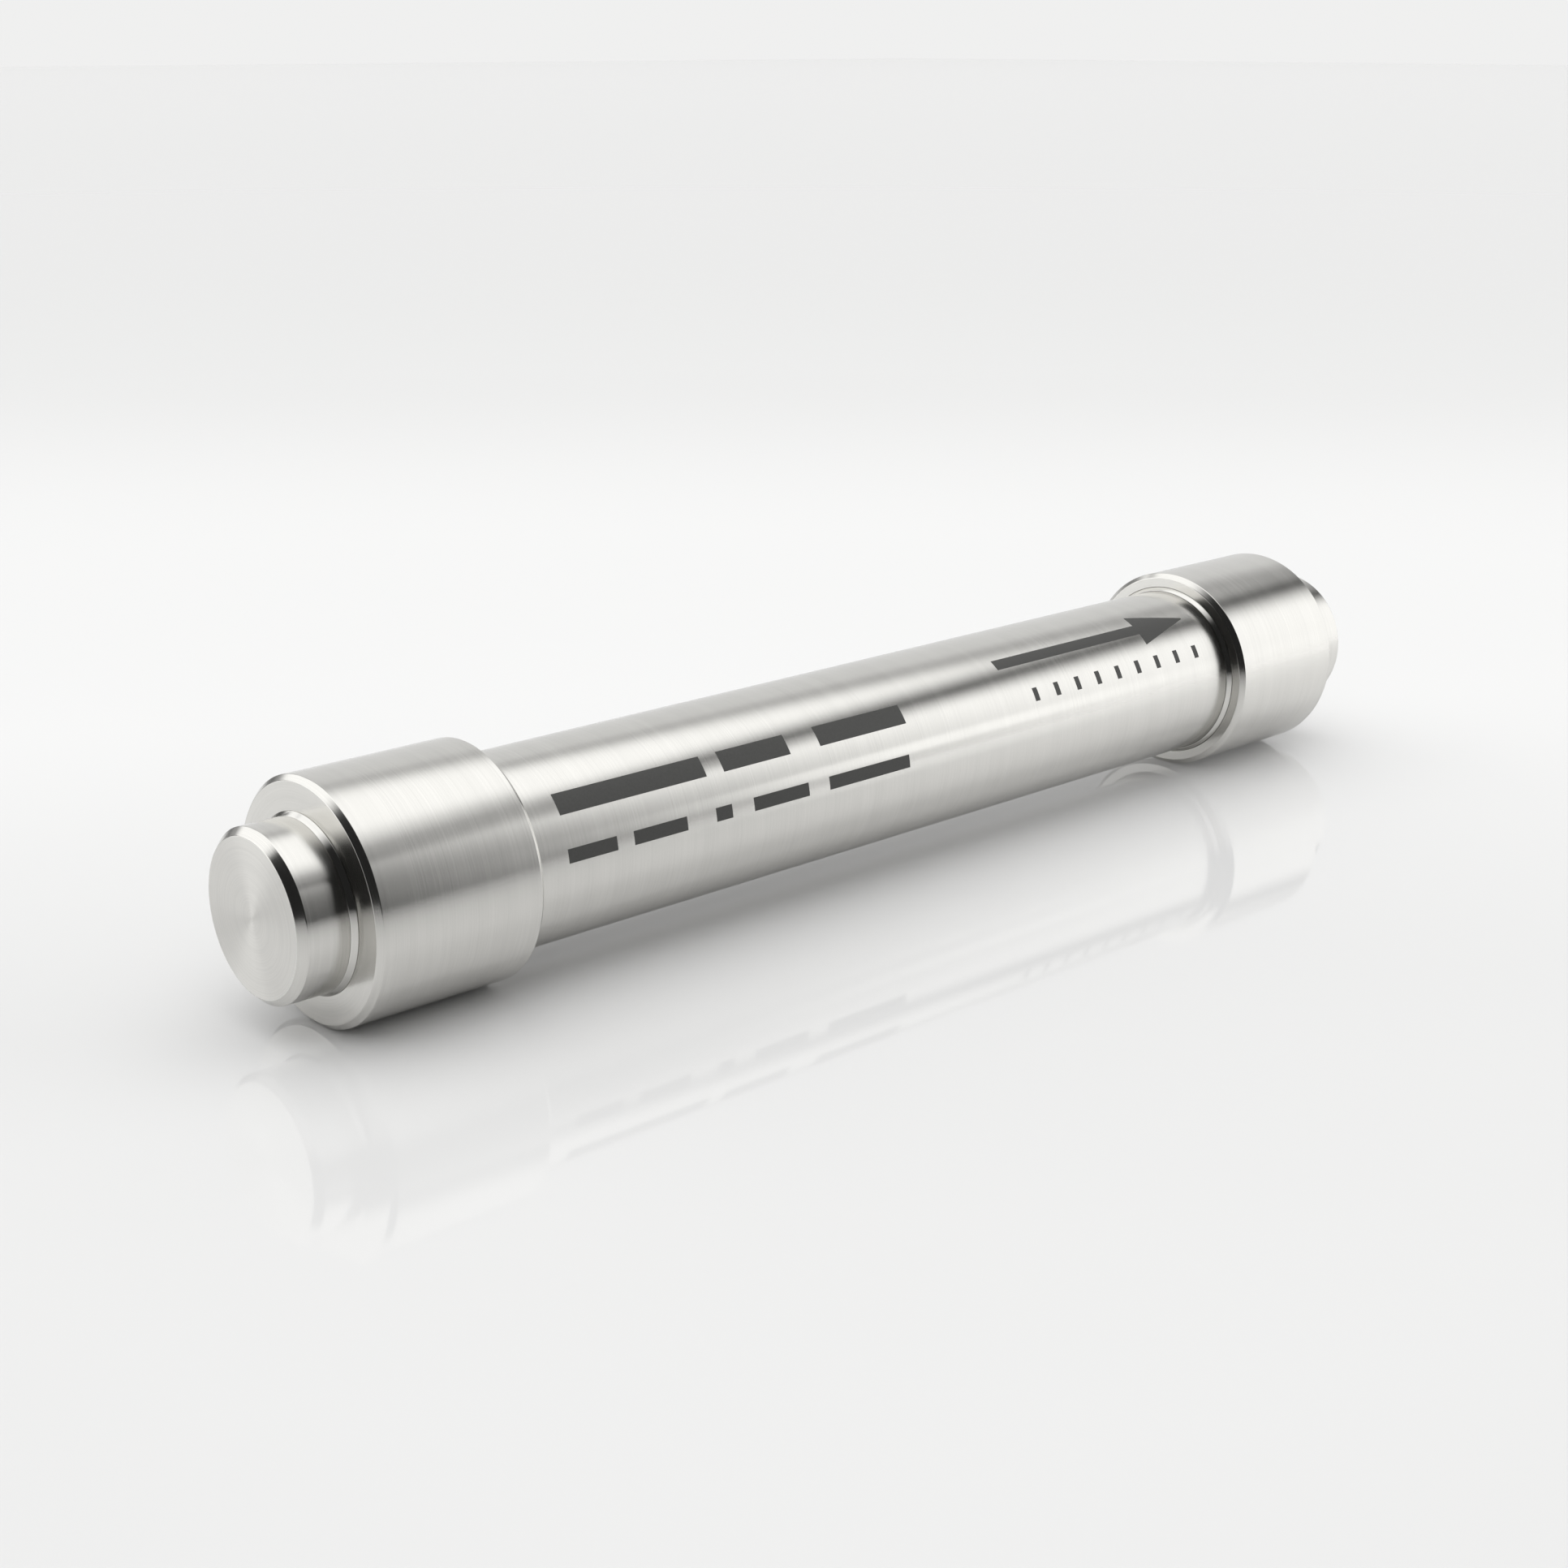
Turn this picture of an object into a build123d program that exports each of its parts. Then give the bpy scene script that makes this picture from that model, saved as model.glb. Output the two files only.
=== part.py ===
from build123d import *
import os
from math import radians, tan

# A short analytical HPLC column: a thick-walled steel tube holds the packed bed, and a screwed
# end fitting closes each end over a frit stack. A blanking plug fills the port of each fitting.
# The column stands on its outlet plug, with the inlet end up. The origin is the centre of the
# outlet plug's flat face, and +Z runs up the column's axis.

# ---- Driving dimensions, in millimetres ----

# Packed bed and column tube
bed_length = 50.0
bore_radius = 1.5
tube_radius = 4.75
spigot_radius = 4.25            # threaded end of the tube, over the crests
spigot_relief_radius = 3.95     # runout groove between the thread and the shoulder
spigot_relief_width = 0.5
spigot_chamfer = 0.25
counterbore_radius = 3.1        # seat for the frit stack and the fitting's nose
counterbore_length = 3.5
shoulder_depth = 7.6            # tube shoulder, below the fitting's outer face
tube_end_depth = 5.35           # tube end face, below the fitting's outer face

# End fitting
fitting_radius = 5.75
fitting_length = 8.75
rim_chamfer = 0.25
nose_radius = 3.05
groove_depth = 5.25             # bottom of the ring groove that takes the tube's spigot
fit_clearance = 0.03            # radial, on every seat of the fitting

# Port of the end fitting, for a 10-32 nut on 1/16 inch capillary
port_thread_radius = 2.45
port_thread_depth = 3.3
drill_half_angle = 59.0
cone_mouth_radius = 1.45
cone_half_angle = 20.0
pilot_radius = 0.85
pilot_length = 1.0
capillary_radius = 0.25

# Collar around the tube at the mouth of the fitting
collar_radius = 4.95
collar_seat_depth = 0.75
collar_lip = 0.27
collar_lip_radius = 4.80
thin_clearance = 0.01           # radial, between pieces that are pressed together

# Frit stack
frit_radius = 1.75
frit_thickness = 0.8
distributor_thickness = 0.3
distributor_groove_count = 6
distributor_groove_width = 0.24
distributor_groove_length = 1.4
distributor_groove_depth = 0.12

# Blanking plug
plug_head_radius = 4.0
plug_head_bevel = 0.35
inlet_plug_height = 2.7         # plug and washer together, above the inlet fitting
outlet_plug_height = 3.5        # the same, below the outlet fitting
shank_radius = 2.40             # 10-32 thread, over the crests
shank_length = 3.2
washer_base_radius = 4.2
washer_thickness = 0.3
washer_bore_radius = 2.45
pin_radius = 0.79
pin_tip_depth = 6.45
pin_socket_depth = 0.7
pin_end_gap = 0.05
ferrule_front_radius = 0.88
ferrule_clearance = 0.03

# ---- Levels and depths worked out from them ----

bed_depth = tube_end_depth + counterbore_length
nose_tip_depth = bed_depth - frit_thickness - distributor_thickness
drill_point_length = (port_thread_radius - cone_mouth_radius) / tan(radians(drill_half_angle))
cone_mouth_depth = port_thread_depth + drill_point_length
cone_length = (cone_mouth_radius - pilot_radius) / tan(radians(cone_half_angle))
pilot_mouth_depth = cone_mouth_depth + cone_length
pilot_depth = pilot_mouth_depth + pilot_length

outlet_face_height = outlet_plug_height
inlet_face_height = outlet_face_height + bed_length + 2 * bed_depth
middle_height = (outlet_face_height + inlet_face_height) / 2

# Each end has its own plane on the outer face of its fitting, with local +Z pointing out of
# the column. A depth is measured the other way, into the column.
ends = {
    "inlet": Plane(origin=(0, 0, inlet_face_height), x_dir=(1, 0, 0), z_dir=(0, 0, 1)),
    "outlet": Plane(origin=(0, 0, outlet_face_height), x_dir=(1, 0, 0), z_dir=(0, 0, -1)),
}
plug_heights = {"inlet": inlet_plug_height, "outlet": outlet_plug_height}

OUTWARD = (Align.CENTER, Align.CENTER, Align.MIN)
INWARD = (Align.CENTER, Align.CENTER, Align.MAX)

os.makedirs("parts", exist_ok=True)


def half_section(end):
    """Plane through the axis, with local X as the radius and local Y pointing out of the end."""
    return Plane(origin=end.origin, x_dir=end.x_dir, z_dir=end.x_dir.cross(end.z_dir))


def end_axis(end):
    return Axis(end.origin, end.z_dir)


def finish(piece, label):
    """Name a finished piece and write it out."""
    piece.part.label = label
    export_step(piece.part, f"parts/{label}.step")
    print(f"{label:26s} {piece.part.volume:10.3f} mm3")


# ---- Column tube: one end is turned, and the other is its mirror image ----

with BuildPart() as column_tube:
    with BuildSketch(half_section(ends["outlet"])):
        with BuildLine():
            Polyline(
                (bore_radius, outlet_face_height - middle_height),
                (tube_radius, outlet_face_height - middle_height),
                (tube_radius, -shoulder_depth),
                (spigot_relief_radius, -shoulder_depth),
                (spigot_relief_radius, spigot_relief_width - shoulder_depth),
                (spigot_radius, spigot_relief_width - shoulder_depth),
                (spigot_radius, -tube_end_depth),
                (counterbore_radius, -tube_end_depth),
                (counterbore_radius, -bed_depth),
                (bore_radius, -bed_depth),
                close=True,
            )
        make_face()
    revolve(axis=Axis.Z)
    end_face_edges = column_tube.edges().group_by(Axis.Z)[0]
    chamfer(end_face_edges.sort_by(SortBy.RADIUS)[-1], spigot_chamfer)
    mirror(about=Plane.XY.offset(middle_height))
finish(column_tube, "column_tube")

with BuildPart(ends["outlet"].offset(-bed_depth)) as packed_bed:
    Cylinder(bore_radius - thin_clearance, bed_length, align=INWARD)
finish(packed_bed, "packed_bed")


# ---- Pieces that each end has ----

def make_end_fitting(end):
    """Cap with the port in its outer face, and a nose inside the ring groove for the tube."""
    thread_bore_radius = spigot_radius + fit_clearance
    tube_seat_radius = tube_radius + fit_clearance
    collar_seat_radius = collar_radius + thin_clearance
    collar_seat_floor = collar_seat_depth - fitting_length
    with BuildPart(end) as fitting:
        Cylinder(fitting_radius, fitting_length, align=INWARD)
        chamfer(fitting.edges().filter_by(GeomType.CIRCLE), rim_chamfer)
        # Socket for the tube: collar seat, tube seat, thread bore and ring groove round the nose
        with BuildSketch(half_section(end)):
            with BuildLine():
                Polyline(
                    (0, -fitting_length),
                    (collar_seat_radius, -fitting_length),
                    (collar_seat_radius, collar_seat_floor),
                    (tube_seat_radius, collar_seat_floor),
                    (tube_seat_radius, fit_clearance - shoulder_depth),
                    (thread_bore_radius, fit_clearance - shoulder_depth),
                    (thread_bore_radius, -groove_depth),
                    (nose_radius, -groove_depth),
                    (nose_radius, -nose_tip_depth),
                    (0, -nose_tip_depth),
                    close=True,
                )
            make_face()
        revolve(axis=end_axis(end), mode=Mode.SUBTRACT)
        # Port: thread, drill point, ferrule cone, pilot for the capillary and the flow hole
        with BuildSketch(half_section(end)):
            with BuildLine():
                Polyline(
                    (0, 0),
                    (port_thread_radius, 0),
                    (port_thread_radius, -port_thread_depth),
                    (cone_mouth_radius, -cone_mouth_depth),
                    (pilot_radius, -pilot_mouth_depth),
                    (pilot_radius, -pilot_depth),
                    (capillary_radius, -pilot_depth),
                    (capillary_radius, -nose_tip_depth),
                    (0, -nose_tip_depth),
                    close=True,
                )
            make_face()
        revolve(axis=end_axis(end), mode=Mode.SUBTRACT)
    return fitting


def make_collar(end):
    """Thin ring pressed into the fitting's mouth, with a tapered lip standing out round the tube."""
    inner_radius = tube_radius + thin_clearance
    with BuildPart() as collar:
        with BuildSketch(half_section(end)):
            with BuildLine():
                Polyline(
                    (inner_radius, collar_seat_depth - fitting_length),
                    (collar_radius, collar_seat_depth - fitting_length),
                    (collar_radius, -fitting_length),
                    (collar_lip_radius, -fitting_length - collar_lip),
                    (inner_radius, -fitting_length - collar_lip),
                    close=True,
                )
            make_face()
        revolve(axis=end_axis(end))
    return collar


def make_frit(end):
    """Sintered disc that keeps the packing in the tube."""
    with BuildPart(end.offset(-bed_depth)) as frit:
        Cylinder(frit_radius, frit_thickness, align=OUTWARD)
    return frit


def make_frit_ring(end):
    """Sealing ring between the frit and the wall of the tube's counterbore."""
    with BuildPart(end.offset(-bed_depth)) as ring:
        Cylinder(nose_radius, frit_thickness, align=OUTWARD)
        Cylinder(frit_radius + thin_clearance, frit_thickness, align=OUTWARD, mode=Mode.SUBTRACT)
    return ring


def make_distributor(end):
    """Disc that spreads the flow from the port's centre over the frit through radial grooves."""
    with BuildPart(end.offset(frit_thickness - bed_depth)) as distributor:
        Cylinder(nose_radius, distributor_thickness, align=OUTWARD)
        Cylinder(capillary_radius, distributor_thickness, align=OUTWARD, mode=Mode.SUBTRACT)
        with BuildSketch(end.offset(frit_thickness - bed_depth)):
            with PolarLocations(0, distributor_groove_count):
                Rectangle(
                    distributor_groove_length,
                    distributor_groove_width,
                    align=(Align.MIN, Align.CENTER),
                )
        extrude(amount=distributor_groove_depth, mode=Mode.SUBTRACT)
    return distributor


def make_plug(end, height):
    """Blanking plug: bevelled round head, threaded shank and a socket for the pin."""
    socket_radius = pin_radius + thin_clearance
    with BuildPart() as plug:
        with BuildSketch(half_section(end)):
            with BuildLine():
                Polyline(
                    (0, height),
                    (plug_head_radius - plug_head_bevel, height),
                    (plug_head_radius, height - plug_head_bevel),
                    (plug_head_radius, washer_thickness),
                    (shank_radius, washer_thickness),
                    (shank_radius, -shank_length),
                    (socket_radius, -shank_length),
                    (socket_radius, -pin_socket_depth),
                    (0, -pin_socket_depth),
                    close=True,
                )
            make_face()
        revolve(axis=end_axis(end))
    return plug


def make_plug_washer(end):
    """Sealing washer under the plug's head, with a tapered rim."""
    with BuildPart() as washer:
        with BuildSketch(half_section(end)):
            with BuildLine():
                Polyline(
                    (washer_bore_radius, 0),
                    (washer_base_radius, 0),
                    (plug_head_radius, washer_thickness),
                    (washer_bore_radius, washer_thickness),
                    close=True,
                )
            make_face()
        revolve(axis=end_axis(end))
    return washer


def make_plug_pin(end):
    """Solid pin that fills the pilot in the place of a capillary."""
    with BuildPart(end.offset(-pin_tip_depth)) as pin:
        Cylinder(pin_radius, pin_tip_depth - pin_socket_depth - pin_end_gap, align=OUTWARD)
    return pin


def make_plug_ferrule(end):
    """Cone on the pin, which the plug's shank presses into the ferrule cone of the port."""
    back_radius = cone_mouth_radius - ferrule_clearance
    taper_length = (back_radius - ferrule_front_radius) / tan(radians(cone_half_angle))
    front_depth = cone_mouth_depth + taper_length
    with BuildPart() as ferrule:
        with BuildSketch(half_section(end)):
            with BuildLine():
                Polyline(
                    (pin_radius + thin_clearance, -shank_length),
                    (back_radius, -shank_length),
                    (back_radius, -cone_mouth_depth),
                    (ferrule_front_radius, -front_depth),
                    (pin_radius + thin_clearance, -front_depth),
                    close=True,
                )
            make_face()
        revolve(axis=end_axis(end))
    return ferrule


for end_name, end in ends.items():
    finish(make_end_fitting(end), f"{end_name}_end_fitting")
    finish(make_collar(end), f"{end_name}_collar")
    finish(make_frit(end), f"{end_name}_frit")
    finish(make_frit_ring(end), f"{end_name}_frit_ring")
    finish(make_distributor(end), f"{end_name}_distributor")
    finish(make_plug(end, plug_heights[end_name]), f"{end_name}_plug")
    finish(make_plug_washer(end), f"{end_name}_plug_washer")
    finish(make_plug_pin(end), f"{end_name}_plug_pin")
    finish(make_plug_ferrule(end), f"{end_name}_plug_ferrule")
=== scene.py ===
import math

import bmesh
import bpy
from bpy.props import (
    FloatProperty,
    FloatVectorProperty,
    IntProperty,
    PointerProperty,
)
from mathutils import Matrix, Vector


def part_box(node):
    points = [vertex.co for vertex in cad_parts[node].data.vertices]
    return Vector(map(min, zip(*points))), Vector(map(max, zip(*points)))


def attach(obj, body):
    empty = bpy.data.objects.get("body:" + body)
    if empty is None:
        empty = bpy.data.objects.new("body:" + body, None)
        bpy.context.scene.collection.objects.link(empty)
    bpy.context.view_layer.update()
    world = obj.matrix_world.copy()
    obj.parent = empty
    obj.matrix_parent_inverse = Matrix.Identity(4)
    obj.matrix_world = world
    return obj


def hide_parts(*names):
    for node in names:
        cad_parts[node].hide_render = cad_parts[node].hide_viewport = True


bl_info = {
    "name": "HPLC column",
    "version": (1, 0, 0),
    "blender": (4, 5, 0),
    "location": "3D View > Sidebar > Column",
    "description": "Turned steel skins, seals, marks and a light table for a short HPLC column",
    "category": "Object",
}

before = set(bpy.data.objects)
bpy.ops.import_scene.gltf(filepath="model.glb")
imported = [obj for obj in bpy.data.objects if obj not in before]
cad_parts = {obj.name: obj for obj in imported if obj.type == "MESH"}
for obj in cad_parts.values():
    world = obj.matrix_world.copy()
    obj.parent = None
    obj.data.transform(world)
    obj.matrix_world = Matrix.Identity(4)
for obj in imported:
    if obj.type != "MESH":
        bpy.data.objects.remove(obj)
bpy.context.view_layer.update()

MM = 0.001
ENDS = ("inlet", "outlet")

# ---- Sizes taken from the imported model, in metres ----


def reach(node, axis):
    """Half-width of a round node."""
    low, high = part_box(node)
    return (high[axis] - low[axis]) / 2


def span(node):
    """Lowest and highest level of a node on the column's axis."""
    low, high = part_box(node)
    return low[2], high[2]


TUBE_R = reach("column_tube", 0)
FITTING_R = reach("inlet_end_fitting", 0)
NOSE_R = reach("inlet_frit_ring", 0)
COLLAR_R = reach("inlet_collar", 0)
HEAD_R = reach("inlet_plug", 0)
WASHER_R = reach("inlet_plug_washer", 0)
TUBE_HIGH = span("column_tube")[1]
FITTING_LOW, FITTING_HIGH = span("inlet_end_fitting")
FITTING_LENGTH = FITTING_HIGH - FITTING_LOW
FACE = {"inlet": FITTING_HIGH, "outlet": span("outlet_end_fitting")[0]}
OUTWARD = {"inlet": 1, "outlet": -1}
SHANK_LENGTH = FACE["inlet"] - span("inlet_plug")[0]
WASHER_THICK = span("inlet_plug_washer")[1] - FACE["inlet"]
COLLAR_LOW, COLLAR_HIGH = span("inlet_collar")
COLLAR_LIP = FITTING_LOW - COLLAR_LOW
COLLAR_SEAT = COLLAR_HIGH - FITTING_LOW
NOSE_TIP = FACE["inlet"] - span("inlet_distributor")[1]
BED_DEPTH = FACE["inlet"] - span("packed_bed")[1]
TUBE_END = FACE["inlet"] - TUBE_HIGH

# Sizes of the turning that no node's box shows, as the solids have them. Only the chamfer at the
# end of the shank isn't in the solids, which leave it square.
BORE_R = 1.5 * MM
SPIGOT_R = 4.25 * MM
RELIEF_R = 3.95 * MM
RELIEF_WIDTH = 0.5 * MM
SPIGOT_CHAMFER = 0.25 * MM
COUNTERBORE_R = 3.1 * MM
SHOULDER = 7.6 * MM
GROOVE = 5.25 * MM
CLEARANCE = 0.03 * MM
THIN_GAP = 0.01 * MM
RIM_CHAMFER = 0.25 * MM
PORT_R = 2.45 * MM
PORT_DEPTH = 3.3 * MM
CONE_MOUTH_R = 1.45 * MM
PILOT_R = 0.85 * MM
PILOT_LENGTH = 1.0 * MM
FLOW_R = 0.25 * MM
DRILL_ANGLE = math.radians(59)
CONE_ANGLE = math.radians(20)
LIP_R = 4.80 * MM
HEAD_BEVEL = 0.35 * MM
SHANK_R = 2.40 * MM
SHANK_CHAMFER = 0.3 * MM
WASHER_BORE_R = 2.45 * MM
PIN_SOCKET_R = 0.80 * MM
PIN_SOCKET_DEPTH = 0.7 * MM


# ---- What a user may change ----

class TurningSettings(bpy.types.PropertyGroup):
    steel_colour: FloatVectorProperty(
        name="Steel colour", description="Colour of the bare turned steel",
        subtype="COLOR", size=3, min=0, max=1, default=(0.665, 0.657, 0.632))
    roughness: FloatProperty(
        name="Roughness", description="How matt the turned faces are",
        subtype="FACTOR", min=0, max=1, default=0.16)
    brushing: FloatProperty(
        name="Brushing", description="How far the ring marks stretch each highlight across them",
        subtype="FACTOR", min=0, max=1, default=0.6)
    ring_spacing: FloatProperty(
        name="Ring spacing", description="Distance between the finest tool marks",
        subtype="DISTANCE", unit="LENGTH", min=1e-6, default=0.07 * MM, precision=6)
    edge_round: FloatProperty(
        name="Edge round", description="Radius that breaks each plain edge",
        subtype="DISTANCE", unit="LENGTH", min=1e-6, default=0.035 * MM, precision=6)
    rim_round: FloatProperty(
        name="Rim round", description="Radius that softens the two edges of each bevelled rim",
        subtype="DISTANCE", unit="LENGTH", min=1e-6, default=0.07 * MM, precision=6)
    segments: IntProperty(
        name="Segments", description="Divisions round each turned piece",
        min=24, max=512, default=192)


class ThreadSettings(bpy.types.PropertyGroup):
    pitch: FloatProperty(
        name="Pitch", description="Travel of a plug in one turn",
        subtype="DISTANCE", unit="LENGTH", min=1e-5, default=0.79375 * MM, precision=6)
    depth: FloatProperty(
        name="Depth", description="Height of the thread's ridge",
        subtype="DISTANCE", unit="LENGTH", min=0, default=0.36 * MM, precision=6)


class MarkSettings(bpy.types.PropertyGroup):
    ink: FloatVectorProperty(
        name="Ink", description="Colour of the printed marks",
        subtype="COLOR", size=3, min=0, max=1, default=(0.042, 0.042, 0.040))
    thickness: FloatProperty(
        name="Thickness", description="How far the ink stands on the tube",
        subtype="DISTANCE", unit="LENGTH", min=1e-6, default=0.008 * MM, precision=6)


class StageSettings(bpy.types.PropertyGroup):
    table_colour: FloatVectorProperty(
        name="Table colour", description="Colour of the glossy table",
        subtype="COLOR", size=3, min=0, max=1, default=(0.78, 0.78, 0.78))
    # Painted light: the table glows by itself in a pool under and behind the column, which
    # lightens the column's shadow there; the table is no lamp.
    painted_pool_light: FloatProperty(
        name="Pool glow",
        description="Light that the table gives by itself, under and behind the column",
        min=0, default=0.07)
    table_reach: FloatProperty(
        name="Table reach", description="Half the width of the table",
        subtype="DISTANCE", unit="LENGTH", min=0.1, default=3.0)
    light_strength: FloatProperty(
        name="Light strength", description="Brightness of the white panels of the light tent",
        min=0, default=1.46)
    fill_strength: FloatProperty(
        name="Fill strength", description="Brightness of the even light on everything matt",
        min=0, default=1.075)
    lens: FloatProperty(
        name="Lens", description="Focal length on a 36 mm wide sensor, in millimetres",
        min=1, default=54.195)
    camera_place: FloatVectorProperty(
        name="Camera place", description="Where the camera stands",
        subtype="TRANSLATION", unit="LENGTH", size=3,
        default=(-85.218 * MM, -36.148 * MM, 120.925 * MM))


# ---- Turning ----

CORNER_STEPS = 3                # divisions of each broken edge
THREAD_ROW = 0.06 * MM          # height of a row of faces on a threaded wall
THREAD_FADE = 0.6               # length of a thread's runout, in pitches
VALLEY_TOP, VALLEY_TAPER = 1.35, 0.95   # how wide a thread's valley is, and how steep its flanks
SPIGOT_THREAD = 0.16 * MM       # depth of the thread on the tube's spigots
PORT_THREAD = 0.14 * MM         # depth of the thread in the ports
ON_AXIS = 1e-9                  # a radius below this is on the axis
SAME_RADIUS = 1e-7              # radii nearer than this are equal


def to_section(end, corners):
    """Places corners in the frame. Each is given as its radius, its height above the fitting's
    outer face and its edge round."""
    return [(r, FACE[end] + OUTWARD[end] * height, rounding) for r, height, rounding in corners]


def counter_clockwise(corners):
    """The corners in the order that keeps the metal on the left."""
    area = 0
    for (r0, z0, _), (r1, z1, _) in zip(corners, corners[1:] + corners[:1]):
        area += r0 * z1 - r1 * z0
    return corners if area > 0 else corners[::-1]


def outward_normal(direction):
    """The side of a section's edge that faces away from the metal."""
    return Vector((direction.y, -direction.x))


def profile_rows(corners, threads=()):
    """Turns a section into rows of (point, normal, thread), each corner broken by a small round.

    A section that starts and ends on the axis is open, and any other is a closed ring. threads
    lists (radius, low, high, cut): the wall at that radius is divided finely between the two
    levels, so that cut(level, angle) can move it in and out."""
    corners = counter_clockwise(corners)
    on_axis = [i for i, corner in enumerate(corners) if corner[0] < ON_AXIS]
    closed = not on_axis
    if not closed:
        start = next(i for i in on_axis if (i - 1) % len(corners) in on_axis)
        corners = corners[start:] + corners[:start]
    rows = []
    count = len(corners)
    for i, (r, z, rounding) in enumerate(corners):
        here = Vector((r, z))
        if not closed and i in (0, count - 1):
            near = Vector(corners[1 if i == 0 else count - 2][:2])
            run = near - here if i == 0 else here - near
            rows.append((here, outward_normal(run.normalized()), None))
        else:
            before = here - Vector(corners[i - 1][:2])
            after = Vector(corners[(i + 1) % count][:2]) - here
            turn = before.angle_signed(after) * -1
            tangent = math.tan(abs(turn) / 2)
            back = min(rounding * tangent, 0.45 * before.length, 0.45 * after.length)
            radius = back / tangent
            run = before.normalized()
            first = here - run * back
            side = Vector((-run.y, run.x)) * math.copysign(1, turn)
            centre = first + side * radius
            for k in range(CORNER_STEPS + 1):
                swing = Matrix.Rotation(turn * k / CORNER_STEPS, 2)
                direction = swing @ run
                spoke = Vector((-direction.y, direction.x)) * math.copysign(1, turn)
                rows.append((centre - spoke * radius, outward_normal(direction), None))
        if i == count - 1:
            break
        nearest = Vector(corners[i + 1][:2])
        for thread_r, low, high, cut in threads:
            if max(abs(r - thread_r), abs(nearest.x - thread_r)) < SAME_RADIUS:
                rows += threaded_rows(here, nearest, low, high, cut)
    return rows, closed


def threaded_rows(here, there, low, high, cut):
    """Rows between the two ends of a threaded wall, without the ends themselves."""
    run = there - here
    count = max(2, int(run.length / THREAD_ROW))
    normal = outward_normal(run.normalized())
    rows = []
    for k in range(2, count - 1):
        point = here + run * (k / count)
        rows.append((point, normal, cut if low <= point.y <= high else None))
    return rows


def ridge(settings, low, high, hand, depth):
    """A thread that fades in and out at its two ends. depth is negative where it cuts into a
    shaft."""
    pitch = settings.pitch
    fade = pitch * THREAD_FADE

    def cut(level, angle):
        phase = (level / pitch * hand - angle / (2 * math.pi)) % 1
        valley = min(1, max(0, VALLEY_TOP - abs(phase - 0.5) * 4 * VALLEY_TAPER))
        ends = min(1, max(0, (level - low) / fade), max(0, (high - level) / fade))
        return depth * valley * ends

    return cut


def turned(name, corners, turning, threads=()):
    """A turned piece: the section goes round the column's axis, with exact normals."""
    rows, closed = profile_rows(corners, threads)
    count = turning.segments
    vertices, normals, rings = [], [], []
    for point, normal, cut in rows:
        if point.x < ON_AXIS:
            rings.append([len(vertices)] * count)
            vertices.append((0, 0, point.y))
            normals.append((0, 0, math.copysign(1, normal.y)))
            continue
        ring = []
        for j in range(count):
            angle = 2 * math.pi * j / count
            r = point.x + (cut(point.y, angle) if cut else 0)
            ring.append(len(vertices))
            vertices.append((r * math.cos(angle), r * math.sin(angle), point.y))
            normals.append(None if cut else (
                normal.x * math.cos(angle), normal.x * math.sin(angle), normal.y))
        rings.append(ring)
    faces = []
    pairs = list(zip(rings, rings[1:]))
    if closed:
        pairs.append((rings[-1], rings[0]))
    for below, above in pairs:
        for j in range(count):
            k = (j + 1) % count
            loop = [below[j], below[k], above[k], above[j]]
            faces.append(list(dict.fromkeys(loop)))
    mesh = bpy.data.meshes.new(name)
    mesh.from_pydata(vertices, [], [face for face in faces if len(face) > 2])
    mesh.polygons.foreach_set("use_smooth", [True] * len(mesh.polygons))
    mesh.update()
    own = [tuple(item.vector) for item in mesh.vertex_normals]
    mesh.normals_split_custom_set_from_vertices(
        [normal or own[i] for i, normal in enumerate(normals)])
    piece = bpy.data.objects.new(name, mesh)
    bpy.context.scene.collection.objects.link(piece)
    return piece


# ---- Finishes ----

MIX_FIRST, MIX_SECOND, MIX_RESULT = 6, 7, 2     # colour sockets of a Mix node
STREAK_LOW, STREAK_HIGH = 0.3, 0.7      # the part of a noise's range that carries its pattern
FLAT_FROM, FLAT_TO = 0.97, 0.995        # how far a normal lies along the axis on a flat end
FACE_BRUSHING = 0.9
RING_DRIFT = 0.012                      # how much the ring marks change round the axis
FINE_SHARE, BROAD_SHARE = 0.65, 0.35    # of the fine and the broad marks in a streak
BROAD_MARKS = 0.07                      # scale of the broad marks against the fine ones
DARKER, LIGHTER = 0.07, 0.06            # how far a streak's tone goes each way
SMOOTHER, ROUGHER = 0.012, 0.018        # and its roughness
CLOUD_SMOOTHER, CLOUD_ROUGHER = -0.006, 0.012
# Scales of the other patterns, in repeats per metre
STEEL_CLOUD = 220.0
SINTER_GRAIN = 22000.0
PEEK_MARKS, PEEK_CLOUD = 9000.0, 900.0
SILICA_GRAIN, SILICA_CLOUD = 60000.0, 1500.0
INK_SPECK = 9000.0
TABLE_CLOUD = 3.0
# Colours, each from its first to its second
# Sintered grains, then the painted shade in the pores between them
SINTER_GRAIN_AND_PORE_SHADE = ((0.42, 0.41, 0.40), (0.16, 0.155, 0.15))
PEEK_TONES = ((0.55, 0.43, 0.27), (0.70, 0.57, 0.39))
SILICA_TONES = ((0.86, 0.86, 0.84), (0.95, 0.95, 0.94))
INK_FADE = 1.7                          # tone of the palest ink against the darkest
TABLE_SHADE = 0.985                     # and of the darkest table against the lightest


def add_node(tree, kind, **values):
    """A node with its settings."""
    node = tree.nodes.new(kind)
    for key, value in values.items():
        setattr(node, key, value)
    return node


def calculate(tree, operation, first, second=None, third=None):
    """Math node; each input is a number or another node's socket."""
    node = add_node(tree, "ShaderNodeMath", operation=operation)
    for socket, value in zip(node.inputs, (first, second, third)):
        if value is None:
            continue
        if isinstance(value, (int, float)):
            socket.default_value = value
        else:
            tree.links.new(value, socket)
    return node.outputs[0]


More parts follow.
